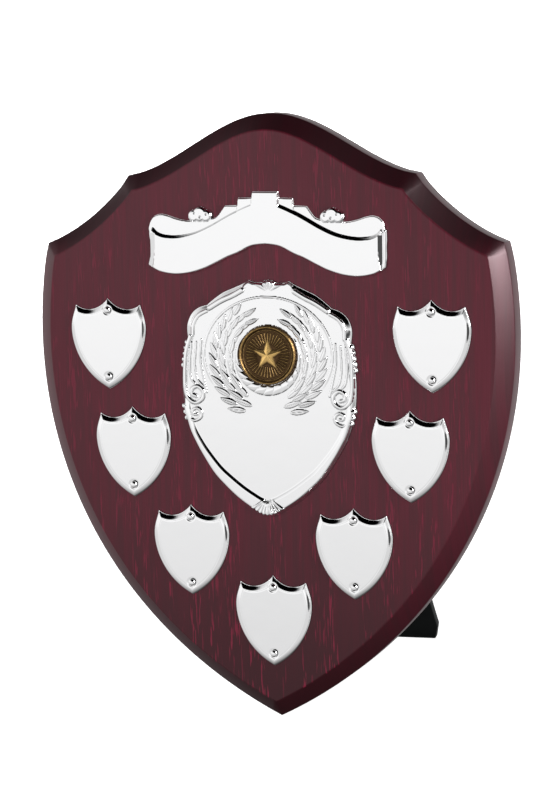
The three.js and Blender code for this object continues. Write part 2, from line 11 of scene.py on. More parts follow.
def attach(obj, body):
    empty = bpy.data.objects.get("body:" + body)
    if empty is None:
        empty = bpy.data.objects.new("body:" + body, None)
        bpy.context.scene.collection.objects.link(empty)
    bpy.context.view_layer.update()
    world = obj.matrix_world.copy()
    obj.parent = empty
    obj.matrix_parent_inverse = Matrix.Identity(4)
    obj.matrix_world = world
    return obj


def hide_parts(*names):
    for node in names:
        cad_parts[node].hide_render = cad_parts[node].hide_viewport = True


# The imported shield. Its face leans back by 12 degrees, and the strut's hinge fixes where the board
# is. On the board, x runs across, y up the face from the tip, and z out of the face.
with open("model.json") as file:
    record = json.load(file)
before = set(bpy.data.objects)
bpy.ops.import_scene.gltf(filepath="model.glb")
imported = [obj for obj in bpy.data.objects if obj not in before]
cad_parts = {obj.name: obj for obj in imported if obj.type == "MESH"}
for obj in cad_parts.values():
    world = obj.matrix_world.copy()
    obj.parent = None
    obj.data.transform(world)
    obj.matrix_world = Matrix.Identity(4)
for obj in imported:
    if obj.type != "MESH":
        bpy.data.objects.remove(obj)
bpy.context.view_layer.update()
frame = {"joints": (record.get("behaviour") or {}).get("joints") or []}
LEAN = math.radians(12)
UP_FACE = Vector((0, math.sin(LEAN), math.cos(LEAN)))
OUT_OF_FACE = Vector((0, -math.cos(LEAN), math.sin(LEAN)))
HINGE_ON_BOARD = (0, 0.178, -0.02145)
hinge_pin_place = Vector(frame["joints"][0]["pos_m"])
tip_place = hinge_pin_place - HINGE_ON_BOARD[1] * UP_FACE - HINGE_ON_BOARD[2] * OUT_OF_FACE
ON_BOARD = Matrix.Translation(tip_place) @ Matrix.Rotation(math.pi / 2 - LEAN, 4, "X")

# The camera stands to the right of the shield and above it, as the photographer's did. Its place
# was solved from corners that pair up across the board and the plates.
CAMERA_ROLL, CAMERA_DIP, CAMERA_SWING = (math.radians(angle) for angle in (1.25, 6.72, -17.42))
CAMERA_LENS_MM = 146.34
CAMERA_FROM_TIP = (0.4079, 0.2946, 1.2855)
camera_turn = (
    Matrix.Rotation(CAMERA_ROLL, 3, "Z")
    @ Matrix.Rotation(CAMERA_DIP, 3, "X")
    @ Matrix.Rotation(CAMERA_SWING, 3, "Y")
)
camera_data = bpy.data.cameras.new("camera")
camera_data.lens = CAMERA_LENS_MM
camera = bpy.data.objects.new("camera", camera_data)
bpy.context.scene.collection.objects.link(camera)
camera.matrix_world = (
    ON_BOARD @ Matrix.Translation(CAMERA_FROM_TIP) @ camera_turn.transposed().to_4x4()
)
bpy.context.scene.camera = camera


# The studio is a white floor and white surroundings. The dark gap above and to the right draws the
# black lines in the chrome. Soft lights stand at the left, at the right and behind.
class Value:
    """A socket in a finish's nodes. Arithmetic on it adds Math nodes."""

    def __init__(self, finish, socket):
        self.finish = finish
        self.socket = socket

    def math(self, operation, *others):
        values = dict(enumerate((self, *others)))
        return self.finish.node("ShaderNodeMath", {"operation": operation}, values)

    def __add__(self, other):
        return self.math("ADD", other)

    __radd__ = __add__

    def __mul__(self, other):
        return self.math("MULTIPLY", other)

    __rmul__ = __mul__

    def __sub__(self, other):
        return self.math("SUBTRACT", other)

    def __rsub__(self, other):
        return (self * -1) + other

    def above(self, low, high):
        """0 below low, 1 above high, and a smooth rise between them"""
        settings = {"interpolation_type": "SMOOTHSTEP"}
        return self.finish.node("ShaderNodeMapRange", settings, {0: self, 1: low, 2: high})


class Finish:
    """The nodes of one material, or of the studio's surroundings."""

    def __init__(self, name, owner=None):
        self.owner = owner or bpy.data.materials.new(name)
        self.owner.use_nodes = True
        self.tree = self.owner.node_tree
        self.tree.nodes.clear()

    def node(self, kind, settings=None, values=None, output=0):
        node = self.tree.nodes.new(kind)
        for key, setting in (settings or {}).items():
            if key == "stops":
                ramp = node.color_ramp
                while len(ramp.elements) < len(setting):
                    ramp.elements.new(1)
                for element, (place, colour) in zip(ramp.elements, setting):
                    element.position = place
                    element.color = (*colour, 1)
            else:
                setattr(node, key, setting)
        for key, value in (values or {}).items():
            if isinstance(value, Value):
                self.tree.links.new(value.socket, node.inputs[key])
            else:
                node.inputs[key].default_value = value
        return Value(self, node.outputs[output]) if node.outputs else None

    def mix(self, share, colour_a, colour_b):
        values = {"Factor": share}
        for slot, colour in ((6, colour_a), (7, colour_b)):
            values[slot] = colour if isinstance(colour, Value) else (*colour, 1)
        return self.node("ShaderNodeMix", {"data_type": "RGBA"}, values, 2)

    def noise(self, place, scale, detail=2.0, roughness=0.5, stretch=(1, 1, 1), shift=0.0):
        values = {"Vector": place, "Scale": stretch, "Location": (shift, shift, shift)}
        stretched = self.node("ShaderNodeMapping", None, values)
        values = {"Vector": stretched, "Scale": scale, "Detail": detail, "Roughness": roughness}
        return self.node("ShaderNodeTexNoise", None, values)

    def on_board(self):
        """Places on the board's own axes, so that a grain runs up the face"""
        place = self.node("ShaderNodeTexCoord", output=3)
        values = {"Vector": place, "Rotation": (LEAN - math.pi / 2, 0, 0)}
        return self.node("ShaderNodeMapping", None, values)

    def surface(self, bump=None, bump_depth=0.0, **sockets):
        values = {key.replace("_", " "): value for key, value in sockets.items()}
        if bump is not None:
            values["Normal"] = self.node(
                "ShaderNodeBump", None, {"Height": bump, "Strength": 1.0, "Distance": bump_depth}
            )
        shader = self.node("ShaderNodeBsdfPrincipled", None, values)
        self.node("ShaderNodeOutputMaterial", None, {"Surface": shader})
        return self.owner


studio = Finish("studio", bpy.data.worlds.new("studio"))
bpy.context.scene.world = studio.owner
bpy.context.scene.view_settings.view_transform = "Standard"
direction = studio.node("ShaderNodeTexCoord")


def toward(azimuth, elevation):
    """How far the surroundings lie towards a point, measured from straight in front"""
    turn, climb = math.radians(azimuth), math.radians(elevation)
    point = (
        math.sin(turn) * math.cos(climb), -math.cos(turn) * math.cos(climb), math.sin(climb)
    )
    values = {0: direction, 1: point}
    return studio.node("ShaderNodeVectorMath", {"operation": "DOT_PRODUCT"}, values, 1)


def within(degrees):
    """What toward() gives at this angle from its point"""
    return math.cos(math.radians(degrees))


# Heights in the surroundings, from straight down at 0 to straight up at 1, and their greys
WALLS = (
    (0, 0.05), (0.1, 0.12), (0.2, 0.45), (0.3, 0.72), (0.42, 0.72), (0.5, 0.77), (0.55, 0.98),
    (0.6, 1.06), (0.78, 0.85), (1, 0.3),
)
climb = toward(0, 90)
wall_stops = [(place, (grey, grey, grey)) for place, grey in WALLS]
walls = studio.node("ShaderNodeValToRGB", {"stops": wall_stops}, {0: 0.5 * climb + 0.5})
gap = toward(35, 65).above(within(52), within(40))
behind = toward(180, 0).above(0, 0.35) * climb.above(0.1, 0.35)
photographer = toward(37, 5).above(within(12), within(8))
low_right = toward(90, -25).above(within(40), within(20))
shades = (1 - gap) * (1 - 0.9 * behind) * (1 - 0.92 * photographer) * (1 - 0.45 * low_right)
seen_directly = studio.node("ShaderNodeLightPath")
backdrop = seen_directly + (1 - seen_directly) * (walls * shades)
light = studio.node("ShaderNodeBackground", None, {"Color": (1, 1, 1, 1), "Strength": backdrop})
studio.node("ShaderNodeOutputWorld", None, {"Surface": light})

FLOOR_HALF = 6
bm = bmesh.new()
bmesh.ops.create_grid(bm, x_segments=1, y_segments=1, size=FLOOR_HALF)
floor_mesh = bpy.data.meshes.new("floor")
bm.to_mesh(floor_mesh)
bm.free()
floor = bpy.data.objects.new("floor", floor_mesh)
bpy.context.scene.collection.objects.link(floor)
floor_paint = Finish("floor_paint")
floor_mesh.materials.append(
    floor_paint.surface(
        Base_Color=(0.85, 0.85, 0.85, 1),
        Roughness=0.9,
        Specular_IOR_Level=0.0,
        Emission_Color=(1, 1, 1, 1),
        Emission_Strength=0.95,
    )
)
floor.visible_glossy = False
floor.visible_diffuse = False


def soft_light(name, place, aim, width, height, power, lights=True, mirrored=True):
    """A rectangular light, aimed at a point. It lights things, shows in mirrors, or both."""
    data = bpy.data.lights.new(name, "AREA")
    data.shape = "RECTANGLE"
    data.size = width
    data.size_y = height
    data.energy = power
    lamp = bpy.data.objects.new(name, data)
    bpy.context.scene.collection.objects.link(lamp)
    lamp.location = place
    lamp.rotation_euler = (Vector(aim) - Vector(place)).to_track_quat("-Z", "Y").to_euler()
    lamp.visible_diffuse = lights
    lamp.visible_glossy = mirrored


soft_light("key_light", (-0.3, -0.75, 0.5), (0, 0, 0.2), 0.4, 0.4, power=2.2, mirrored=False)
soft_light("low_right_light", (1.4, -0.5, 0.1), (0.1, 0, 0.15), 0.5, 0.2, power=9, mirrored=False)
soft_light("right_light", (1.7, -0.22, 0.8), (0.1, 0, 0.2), 0.6, 0.9, power=54, lights=False)
soft_light("back_light", (-0.5, 1.2, 0.4), (0, 0, 0.12), 0.6, 0.4, power=14, mirrored=False)


# The board is fibre board about 18 mm thick, faced with a mahogany-coloured veneer. Its outline is
# cut and its front edge bevelled by a router, with the arrises eased, and all of it is lacquered.
def outline(curves, half_width, height, corner_room):
    """Points round a symmetric shape, from its foot up the right side and down the left. No point
    is nearer to a corner than the room that a bevel needs there."""
    half = []
    for handles, count in curves:
        ends = [Vector((x * half_width, y * height, 0)) for x, y in handles]
        points = interpolate_bezier(*ends, count)
        middle = [
            p for p in points[1:-1]
            if min((p - points[0]).length, (p - points[-1]).length) > corner_room
        ]
        half += [points[0], *middle]
    half.append(points[-1])
    return half + [Vector((-p.x, p.y, 0)) for p in reversed(half[1:-1])]


def slab(points, low, high):
    """A closed slab of this outline between two heights, and its upper face"""
    bm = bmesh.new()
    lower = bm.faces.new([bm.verts.new((p.x, p.y, low)) for p in points])
    raised = bmesh.ops.extrude_face_region(bm, geom=[lower])["geom"]
    upper = next(item for item in raised if isinstance(item, bmesh.types.BMFace))
    bmesh.ops.translate(bm, verts=list(upper.verts), vec=(0, 0, high - low))
    return bm, upper


def round_loops(bm, offset, least_angle=25):
    """Rounds the level edges that run round a piece"""
    loops = [
        edge for edge in bm.edges
        if abs(edge.verts[0].co.z - edge.verts[1].co.z) < 1e-6
        and edge.calc_face_angle(0) > math.radians(least_angle)
    ]
    bmesh.ops.bevel(
        bm, geom=loops, offset=offset, affect="EDGES", segments=3, profile=0.5, material=-1,
        clamp_overlap=True,
    )


def fitted(name, bm, place, finish, body, slot, *nodes, sharp=40):
    """Puts a made piece in its place on the shield, in place of its plain nodes"""
    bmesh.ops.transform(bm, matrix=place, verts=bm.verts)
    bmesh.ops.recalc_face_normals(bm, faces=bm.faces)
    mesh = bpy.data.meshes.new(name)
    bm.to_mesh(mesh)
    bm.free()
    true_normals = mesh.attributes.get("true_normal")
    if true_normals:
        turn = place.to_3x3()
        turned = [turn @ item.vector for item in true_normals.data]
        corner_normals = [
            turned[vertex] if polygon.use_smooth else (0, 0, 0)
            for polygon in mesh.polygons for vertex in polygon.vertices
        ]
        mesh.normals_split_custom_set(corner_normals)
        mesh.attributes.remove(true_normals)
    else:
        mesh.shade_smooth()
        mesh.set_sharp_from_angle(angle=math.radians(sharp))
    mesh.materials.append(finish)
    piece = bpy.data.objects.new(name, mesh)
    bpy.context.scene.collection.objects.link(piece)
    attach(piece, body)
    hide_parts(*nodes)
    return piece


BOARD_CURVES = (
    (((0, 0), (0.622, 0.124), (1, 0.36), (1, 0.641)), 90),
    (((1, 0.641), (1, 0.686), (0.986, 0.756), (0.961, 0.788)), 20),
    (((0.961, 0.788), (0.768, 0.817), (0.624, 0.884), (0.605, 0.9)), 26),
    (((0.605, 0.9), (0.396, 0.912), (0.216, 1), (0, 1)), 40),
)
BOARD_HALF_WIDTH = 0.1038
BOARD_HEIGHT = 0.25507
BOARD_THICKNESS = 0.0182
BEVEL_WIDTH = 0.0068
BEVEL_DROP = 0.0075
EASED_ARRIS = 0.0005
CORNER_ROOM = 0.0042
board_outline = outline(BOARD_CURVES, BOARD_HALF_WIDTH, BOARD_HEIGHT, CORNER_ROOM)
bm, front = slab(board_outline, -BOARD_THICKNESS, -BEVEL_DROP)
bmesh.ops.inset_region(bm, faces=[front], thickness=BEVEL_WIDTH, use_even_offset=True)
bmesh.ops.translate(bm, verts=list(front.verts), vec=(0, 0, BEVEL_DROP))
round_loops(bm, EASED_ARRIS)

# The veneer's grain runs up the board. Its pores are crimson and lie in columns, fewer higher up.
# The face is darker towards the tip. The bevels, sides and back are a darker tone, and the front
# bevel above the shoulder is darker still with painted shade.
LACQUER_IOR = 1.45
LACQUER_TINT = (1, 0.78, 0.82, 1)
DARK_STAIN = (0.058, 0.012, 0.018), (0.076, 0.015, 0.022)
RED_STAIN = (0.092, 0.008, 0.018), (0.112, 0.011, 0.024)
PLANK_STAIN = (0.07, 0.009, 0.016)
# The ground colour at the tip; the face darkens towards it
TIP_GROUND = (0.03, 0.003, 0.006)
# The bevels' own darker tone, also used as painted shade on the upper front bevel
BEVEL_TONE_AND_SHADE = (0.008, 0.002, 0.003)
PORE_CRIMSON = (0.24, 0.01, 0.04)
SHOULDER_HEIGHT = 0.192
veneer = Finish("veneer")
grain_place = veneer.on_board()
plank = veneer.noise(grain_place, 1, 2, 0.5, (9, 3, 3)).above(0.35, 0.65)
fibres = veneer.noise(grain_place, 1, 3, 0.65, (1900, 40, 40))
pores = veneer.noise(grain_place, 1, 1, 0.4, (1500, 110, 30)).above(0.565, 0.68)
streaks = veneer.noise(grain_place, 1, 2, 0.5, (480, 17, 30), 9.1).above(0.38, 0.62)
columns = veneer.noise(grain_place, 1, 1, 0.5, (230, 12, 10), 3.7).above(0.45, 0.6)
mount = Matrix.Rotation(LEAN - math.pi / 2, 3, "X") @ tip_place
out_of_board = veneer.node("ShaderNodeSeparateXYZ", None, {0: grain_place}, 2)
up_board = veneer.node("ShaderNodeSeparateXYZ", None, {0: grain_place}, 1)
face_share = out_of_board.above(mount.z - 0.0006, mount.z - 0.0002)
front_share = out_of_board.above(mount.z - BEVEL_DROP - 0.0003, mount.z - BEVEL_DROP + 0.0003)
upper = up_board.above(mount.y - 0.01, mount.y + 0.13)
shoulder = up_board.above(mount.y + SHOULDER_HEIGHT, mount.y + SHOULDER_HEIGHT + 0.013)
crimson = pores * columns * face_share * (0.85 - 0.5 * upper)
dark = veneer.mix(fibres.above(0.2, 0.8), *DARK_STAIN)
red = veneer.mix(fibres.above(0.2, 0.8), *RED_STAIN)
ground = veneer.mix(0.3 + 0.7 * streaks, dark, red)
ground = veneer.mix(0.5 * plank, ground, PLANK_STAIN)
# The face's ground darkens towards the tip
ground = veneer.mix(upper, TIP_GROUND, ground)
# Bevels, sides and back take a darker tone; above the shoulder the front bevel also takes painted
# shade for the dim light from overhead
tone_and_shade_share = (1 - face_share) * (0.12 + 0.6 * (shoulder * front_share))
veneer.surface(
    bump=0.4 * fibres - 0.6 * crimson,
    bump_depth=0.00004,
    Base_Color=veneer.mix(crimson, veneer.mix(tone_and_shade_share, ground, BEVEL_TONE_AND_SHADE), PORE_CRIMSON),
    Roughness=0.35 + 0.05 * fibres,
    IOR=LACQUER_IOR,
    Specular_Tint=LACQUER_TINT,
)
fitted("shield_board_veneered", bm, ON_BOARD, veneer.owner, "shield", "veneered_board",
       "shield_board")


# Seven record shields are stamped from sheet, with a scalloped top and a rolled edge, and chromed.
# Each stands a hair off the board and is held by two dome-headed pins.
RECORD_CURVES = (
    (((0, 0), (0.753, 0.166), (1, 0.482), (1, 0.677)), 30),
    (((1, 0.677), (1, 0.78), (0.9, 0.86), (0.862, 0.93)), 14),
    (((0.862, 0.93), (0.66, 0.855), (0.28, 0.845), (0, 1)), 24),
)
RECORD_HALF_WIDTH = 0.01665
RECORD_HEIGHT = 0.0384
RECORD_PLACES = (
    (-0.07055, 0.1397), (0.07055, 0.1397),
    (-0.06065, 0.0938), (0.06065, 0.0938),
    (-0.0357, 0.0525), (0.0357, 0.0525),
    (0, 0.0232),
)
RECORD_BOX_MM = (-16.8, 16.8, -0.1, 38.6)
RECORD_CELL_MM = 0.28
RECORD_RIM_MM = 2.1
SEAT = 0.00025
PIN_HEIGHTS = (("top", 0.0335), ("bottom", 0.0053))
CHROME_COLOUR = (0.93, 0.93, 0.935, 1)
chrome = Finish("bright_chrome")
chrome_place = chrome.on_board()
ripple = chrome.noise(chrome_place, 90, 2)
haze = chrome.noise(chrome_place, 400, 3)
chrome.surface(
    bump=ripple,
    bump_depth=0.00002,
    Base_Color=CHROME_COLOUR,
    Metallic=1.0,
    Roughness=0.04 + 0.04 * haze,
)


def polyline(points, closed=True):
    """Distance from a line of points, in millimetres, negative inside it where it is closed"""
    corners = np.array([p for k, p in enumerate(points) if p != points[k - 1]], float)
    starts, ends = (corners, np.roll(corners, -1, 0)) if closed else (corners[:-1], corners[1:])

    def distance(x, y):
        nearest = np.full(x.shape, 1e9)
        inside = np.zeros(x.shape, bool)
        for (ax, ay), (bx, by) in zip(starts, ends):
            dx, dy = bx - ax, by - ay
            along = np.clip(((x - ax) * dx + (y - ay) * dy) / (dx * dx + dy * dy), 0, 1)
            gap = (x - ax - along * dx) ** 2 + (y - ay - along * dy) ** 2
            nearest = np.minimum(nearest, gap)
            if closed and ay != by:
                crosses = (ay > y) != (by > y)
                inside ^= crosses & (x < (bx - ax) * (y - ay) / (by - ay) + ax)
        return np.where(inside, -1, 1) * np.sqrt(nearest)

    return distance


def rise(value, low, high):
    """0 below low, 1 above high, and a smooth rise between them"""
    share = np.clip((value - low) / (high - low), 0, 1)
    return share * share * (3 - 2 * share)


def pressed(shape, relief, box_mm, cell):
    """A plate pressed from a fine grid: cut to the shape, its border drawn to the line, its face
    raised by the relief, and its edge turned down to the board. Sizes are in millimetres. The
    relief's own slope is kept as the face's normal, so that the chrome mirrors it cleanly."""
    low_x, high_x, low_y, high_y = box_mm
    columns = round((high_x - low_x) / cell)
    rows = round((high_y - low_y) / cell)
    bm = bmesh.new()
    true_normal = bm.verts.layers.float_vector.new("true_normal")
    bmesh.ops.create_grid(bm, x_segments=columns, y_segments=rows, size=0.5)
    bmesh.ops.scale(bm, vec=(high_x - low_x, high_y - low_y, 1), verts=bm.verts)
    bmesh.ops.translate(
        bm, vec=((low_x + high_x) / 2, (low_y + high_y) / 2, 0), verts=bm.verts
    )
    places = np.array([vert.co[:2] for vert in bm.verts])
    outside = shape(places[:, 0], places[:, 1])
    bm.verts.index_update()
    spare = [
        face for face in bm.faces
        if sum(outside[vert.index] for vert in face.verts) > 0.2 * cell
    ]
    bmesh.ops.delete(bm, geom=spare, context="FACES")
    verts = list(bm.verts)
    places = np.array([vert.co[:2] for vert in verts])
    border = np.array([vert.is_boundary for vert in verts])
    small = 0.01
    for _ in range(3):
        x, y = places[border].T
        gap = shape(x, y)
        slope = np.stack([shape(x + small, y) - gap, shape(x, y + small) - gap], 1) / small
        length = np.maximum((slope ** 2).sum(1, keepdims=True), 0.2)
        places[border] -= gap[:, None] * slope / length

    def height_at(x, y):
        return relief(x, y, -shape(x, y))

    x, y = places.T
    half_cell = cell / 2
    heights = height_at(x, y)
    slope_x = (height_at(x + half_cell, y) - heights) / half_cell
    slope_y = (height_at(x, y + half_cell) - heights) / half_cell
    normals = np.stack([-slope_x, -slope_y, np.ones_like(x)], 1)
    normals /= np.linalg.norm(normals, axis=1, keepdims=True)
    for vert, (x, y), height, normal in zip(verts, places, heights, normals):
        vert.co = (x, y, height)
        vert[true_normal] = normal
    for face in bm.faces:
        face.smooth = True
    rim = [edge for edge in bm.edges if edge.is_boundary]
    turned_down = bmesh.ops.extrude_edge_only(bm, edges=rim)["geom"]
    for vert in (item for item in turned_down if isinstance(item, bmesh.types.BMVert)):
        vert.co.z = 0
    foot = [item for item in turned_down if isinstance(item, bmesh.types.BMEdge)]
    wall = [item for item in turned_down if isinstance(item, bmesh.types.BMFace)]
    wall += bmesh.ops.edgeloop_fill(bm, edges=foot)["faces"]
    for face in wall:
        face.smooth = False
    bmesh.ops.scale(bm, vec=(0.001, 0.001, 0.001), verts=bm.verts)
    return bm


record_outline = outline(RECORD_CURVES, RECORD_HALF_WIDTH, RECORD_HEIGHT, 0)
record_shape = polyline([(p.x * 1000, p.y * 1000) for p in record_outline])


def record_relief(x, y, depth):
    """The rim swells from its rolled edge to a fine groove, and each pin sits in a dimple"""
    share = np.clip(depth / RECORD_RIM_MM, 0, 1)
    height = 0.55 + 0.95 * (1 - (1 - share) ** 1.4)
    rolled_edge = (1 - np.clip(depth / 0.6, 0, 1)) ** 2
    groove = np.exp(-(((depth - RECORD_RIM_MM - 0.2) / 0.22) ** 2))
    height -= 0.16 * rolled_edge + 0.03 * groove
    for _, pin_height in PIN_HEIGHTS:
        from_pin = np.hypot(x, y - pin_height * 1000)
        height -= 0.24 * rise(-from_pin, -2.5, -1.4)
    return height


record_plate = pressed(record_shape, record_relief, RECORD_BOX_MM, RECORD_CELL_MM)
for number, (across, up) in enumerate(RECORD_PLACES, 1):
    place = ON_BOARD @ Matrix.Translation((across, up, SEAT))
    name = f"record_shield_{number}"
    fitted(name + "_plate", record_plate.copy(), place, chrome.owner, "shield", "chromed_plate",
           name)
record_plate.free()


# The pins are chromed, with a domed head that is spun round its shank.
def turned(profile, sides):
    """A closed round piece from (radius, height) pairs that start and end on its axis"""
    bm = bmesh.new()
    verts = [bm.verts.new((radius, 0, height)) for radius, height in profile]
    edges = [bm.edges.new(pair) for pair in zip(verts, verts[1:])]
    bmesh.ops.spin(
        bm, geom=verts + edges, cent=(0, 0, 0), axis=(0, 0, 1), angle=2 * math.pi, steps=sides,
        use_merge=True,
    )
    bmesh.ops.remove_doubles(bm, verts=bm.verts, dist=1e-7)
    return bm


def domed(radius, height, shank, length, steps=8):
    """Profile of a domed head on a shank"""
    dome = [
        (radius * math.cos(turn), height * (0.18 + 0.82 * math.sin(turn)))
        for turn in (k / steps * math.pi / 2 for k in range(steps))
    ]
    return [(0, -length), (shank, -length), (shank, 0), (radius, 0), *dome, (0, height)]


PIN_SEAT = 0.0018
PIN_PROFILE = domed(radius=0.0015, height=0.0011, shank=0.0006, length=0.006)
PIN_SIDES = 28
for number, (across, up) in enumerate(RECORD_PLACES, 1):
    for hand, height in PIN_HEIGHTS:
        bm = turned(PIN_PROFILE, PIN_SIDES)
        place = ON_BOARD @ Matrix.Translation((across, up + height, PIN_SEAT))
        name = f"record_shield_{number}_pin_{hand}"
        fitted(name + "_dome", bm, place, chrome.owner, "shield", "chromed_plate", name)


# The title scroll is a pressed ribbon. The band stands proud, with its ends folded back behind it
# and two small rosettes and a stepped crest above. It is chromed and carries no lettering.
def curved(points, steps=6):
    """A smooth line through points"""
    path = [points[0], *points, points[-1]]
    line = []
    for before, start, end, after in zip(path, path[1:], path[2:], path[3:]):
        knots = [Vector((*p, 0)) for p in (before, start, end, after)]
        handles = knots[1] + (knots[2] - knots[0]) / 6, knots[2] - (knots[3] - knots[1]) / 6
        line += interpolate_bezier(knots[1], *handles, knots[2], steps + 1)[:-1]
    line.append(Vector((*points[-1], 0)))
    return [(p.x, p.y) for p in line]


def bulge(distance, half_width):
    """Round cross-section, 1 on its line and 0 at its edge"""
    return np.sqrt(np.clip(1 - (distance / half_width) ** 2, 0, 1))


def both_sides(right, left):
    """A closed line from its two halves, each from foot to head"""
    return [*right, *((-x, y) for x, y in reversed(left) if abs(x) > 1e-6)]


SCROLL_FOOT = curved(
    [(0, 13.6), (6, 12.8), (12.2, 9.8), (16.3, 8.2), (21.5, 5.6), (27, 3.1), (33.5, 1.2),
     (40, 0.6), (46, 1.5), (49.5, 3.1), (51.8, 4.9)]
)
SCROLL_RIGHT = curved([(51.8, 4.9), (52.1, 8), (52.1, 12), (52.2, 16), (52.1, 20)])
SCROLL_LEFT = curved([(51.8, 4.9), (51, 8), (50.8, 12), (51.1, 16), (51.6, 20)])
SCROLL_HEAD = curved(
    [(51.6, 20), (50.6, 23.2), (48.6, 25.3), (46, 26), (43, 25.5), (39, 24.2), (34.5, 23.4),
     (29, 23.6), (24, 24.2)]
)
SCROLL_CREST = curved([(24, 24.2), (21.5, 25), (19.6, 27.2), (17.8, 29.7)]) + [
    (12.2, 29.9), (11.9, 33), (5.9, 33.1), (5.6, 35.6), (0, 35.6),
]
SCROLL_FOLD = curved(
    [(0, 31.2), (5, 30.1), (12.6, 26.9), (18, 24.1), (23.6, 21), (30.5, 18), (37.8, 16.5),
     (44, 16.6), (47.7, 17.8), (49.6, 19.6)]
)
ROSETTE = (28.7, 25.6)
ROSETTE_LOBES = ((-2.7, -0.1, 2.5), (0, 0.6, 3.1), (2.7, -0.1, 2.5))
ROSETTE_DOTS = ((-3.0, 0.6, 0.6), (-0.3, -0.6, 0.7), (2.2, 1.0, 0.55))
SCROLL_END = [(2, 49.8), (4, 49.3), (7, 48.8), (12, 48.4), (18, 48.3)]
SCROLL_BOX_MM = (-52.6, 52.6, 0, 36.5)
SCROLL_CELL_MM = 0.24
SCROLL_EDGE = 0.5
SCROLL_BAND = 1.9
SCROLL_HEIGHT = 0.18717
SCROLL_TILT = math.radians(-0.6)
CREST_STEPS = (5.8, 12.1)
END_STRIP_FROM = 48.3
END_LIP_FROM = 50.2
scroll_edge = polyline(both_sides(*(
    SCROLL_FOOT + side[1:] + SCROLL_HEAD[1:] + SCROLL_CREST[1:]
    for side in (SCROLL_RIGHT, SCROLL_LEFT)
)))
scroll_fold = polyline(SCROLL_FOLD, closed=False)


def from_lobe(x, y, lobe):
    """Distance from the edge of one of a rosette's lobes or dots, negative inside it"""
    return np.hypot(np.abs(x) - ROSETTE[0] - lobe[0], y - ROSETTE[1] - lobe[1]) - lobe[2]


def scroll_shape(x, y):
    return np.min([scroll_edge(x, y), *(from_lobe(x, y, lobe) for lobe in ROSETTE_LOBES)], 0)


def scroll_relief(x, y, depth):
    across = np.abs(x)
    above_fold = np.sign(y - np.interp(across, *zip(*SCROLL_FOLD)))
    behind_fold = above_fold * scroll_fold(across, y)
    edge_width = 0.9 - 0.55 * rise(behind_fold, -0.5, 1)
    edge = (1 - np.clip(depth / edge_width, 0, 1)) ** 2
    height = SCROLL_EDGE + (SCROLL_BAND - SCROLL_EDGE) * (1 - edge)

    # The ends and the crest lie behind the band, deeper on the right
    sunk = 0.6 * rise(x, 5.3, 5.9) + 0.32 * (1 - rise(x, -44, -24))
    height -= sunk * rise(behind_fold, -0.6, 0.35)
    for step in CREST_STEPS:
        height -= 0.3 * rise(across, step - 0.2, step + 0.35) * rise(behind_fold, 0, 1)

    # The band turns down at its ends, and on the right a lip turns up again
    past_end = across - np.interp(y, *zip(*SCROLL_END))
    strip = np.maximum(1.95 - 0.5 * (across - END_STRIP_FROM), 1.95 - 2 * np.maximum(past_end, 0))
    height = np.where((y < 18.2) & (past_end > 0), np.minimum(height, strip), height)
    lip = 0.95 + 0.65 * bulge(depth - 0.8, 0.8)
    on_lip = (x > END_LIP_FROM) & (y < 22)
    height = np.where(on_lip, np.maximum(np.minimum(height, 1.1), lip), height)

    # The rosettes are rounded lobes with a few small dots
    lobe_depth = np.clip(-np.min([from_lobe(x, y, lobe) for lobe in ROSETTE_LOBES], 0), 0, 1)
    height = np.where(lobe_depth > 0, 0.9 + 0.9 * (1 - (1 - lobe_depth) ** 2), height)
    for dot in ROSETTE_DOTS:
        height -= 0.35 * rise(-from_lobe(x, y, dot), 0, dot[2])
    return height


bm = pressed(scroll_shape, scroll_relief, SCROLL_BOX_MM, SCROLL_CELL_MM)
place = ON_BOARD @ Matrix.Translation((0, SCROLL_HEIGHT, SEAT))
place = place @ Matrix.Rotation(SCROLL_TILT, 4, "Z")
fitted("title_scroll_ribbon", bm, place, chrome.owner, "shield", "chromed_plate", "title_scroll")


# The centre shield is pressed in one, with a rolled rim, a laurel wreath and a rope round the
# bronze centre, scrolled and beaded columns at its sides, and a shell at head and foot.
CENTRE_HALF = curved(
    [(0, -49.7), (5, -48.2), (9, -45.9), (14.1, -42.3), (19.2, -37.8), (24.3, -32.5),
     (29.4, -24.9), (32.1, -20.2), (34.6, -15.2), (36.2, -10.2), (37.4, -4.8), (37.9, 4.6),
     (37.3, 13.4), (36, 20), (35.5, 24.1)]
) + curved(
    [(35.5, 24.1), (35.9, 27.8), (35.6, 30.9), (33.9, 34.6), (30.8, 37.2), (26.9, 38.5)]
) + curved(
    [(26.9, 38.5), (25.6, 39.8), (20.6, 43.5), (16.1, 45.6), (11.8, 47.5), (8.6, 49.3)]
) + curved([(8.6, 49.3), (6.5, 48.5), (4, 48.5), (0, 48.8)])
MEDALLION = (0, 18.36)
BEAD_RADIUS = 1.35
BEADS = (
    (35.6, 22.6), (36.1, 20.2), (36.5, 17.8), (36.9, 15.4), (37.2, 13),
    (36.9, -4.2), (36.3, -6.7), (35.7, -9.2),
)
# A shell's root, radius, heading, number of flutes and spread
FOOT_SHELL = (0, -41, 9.0, -math.pi / 2, 9, 2.0)
HEAD_SHELL = (0, 44.6, 5.2, math.pi / 2, 5, 2.2)
centre_edge = polyline(both_sides(CENTRE_HALF, CENTRE_HALF))
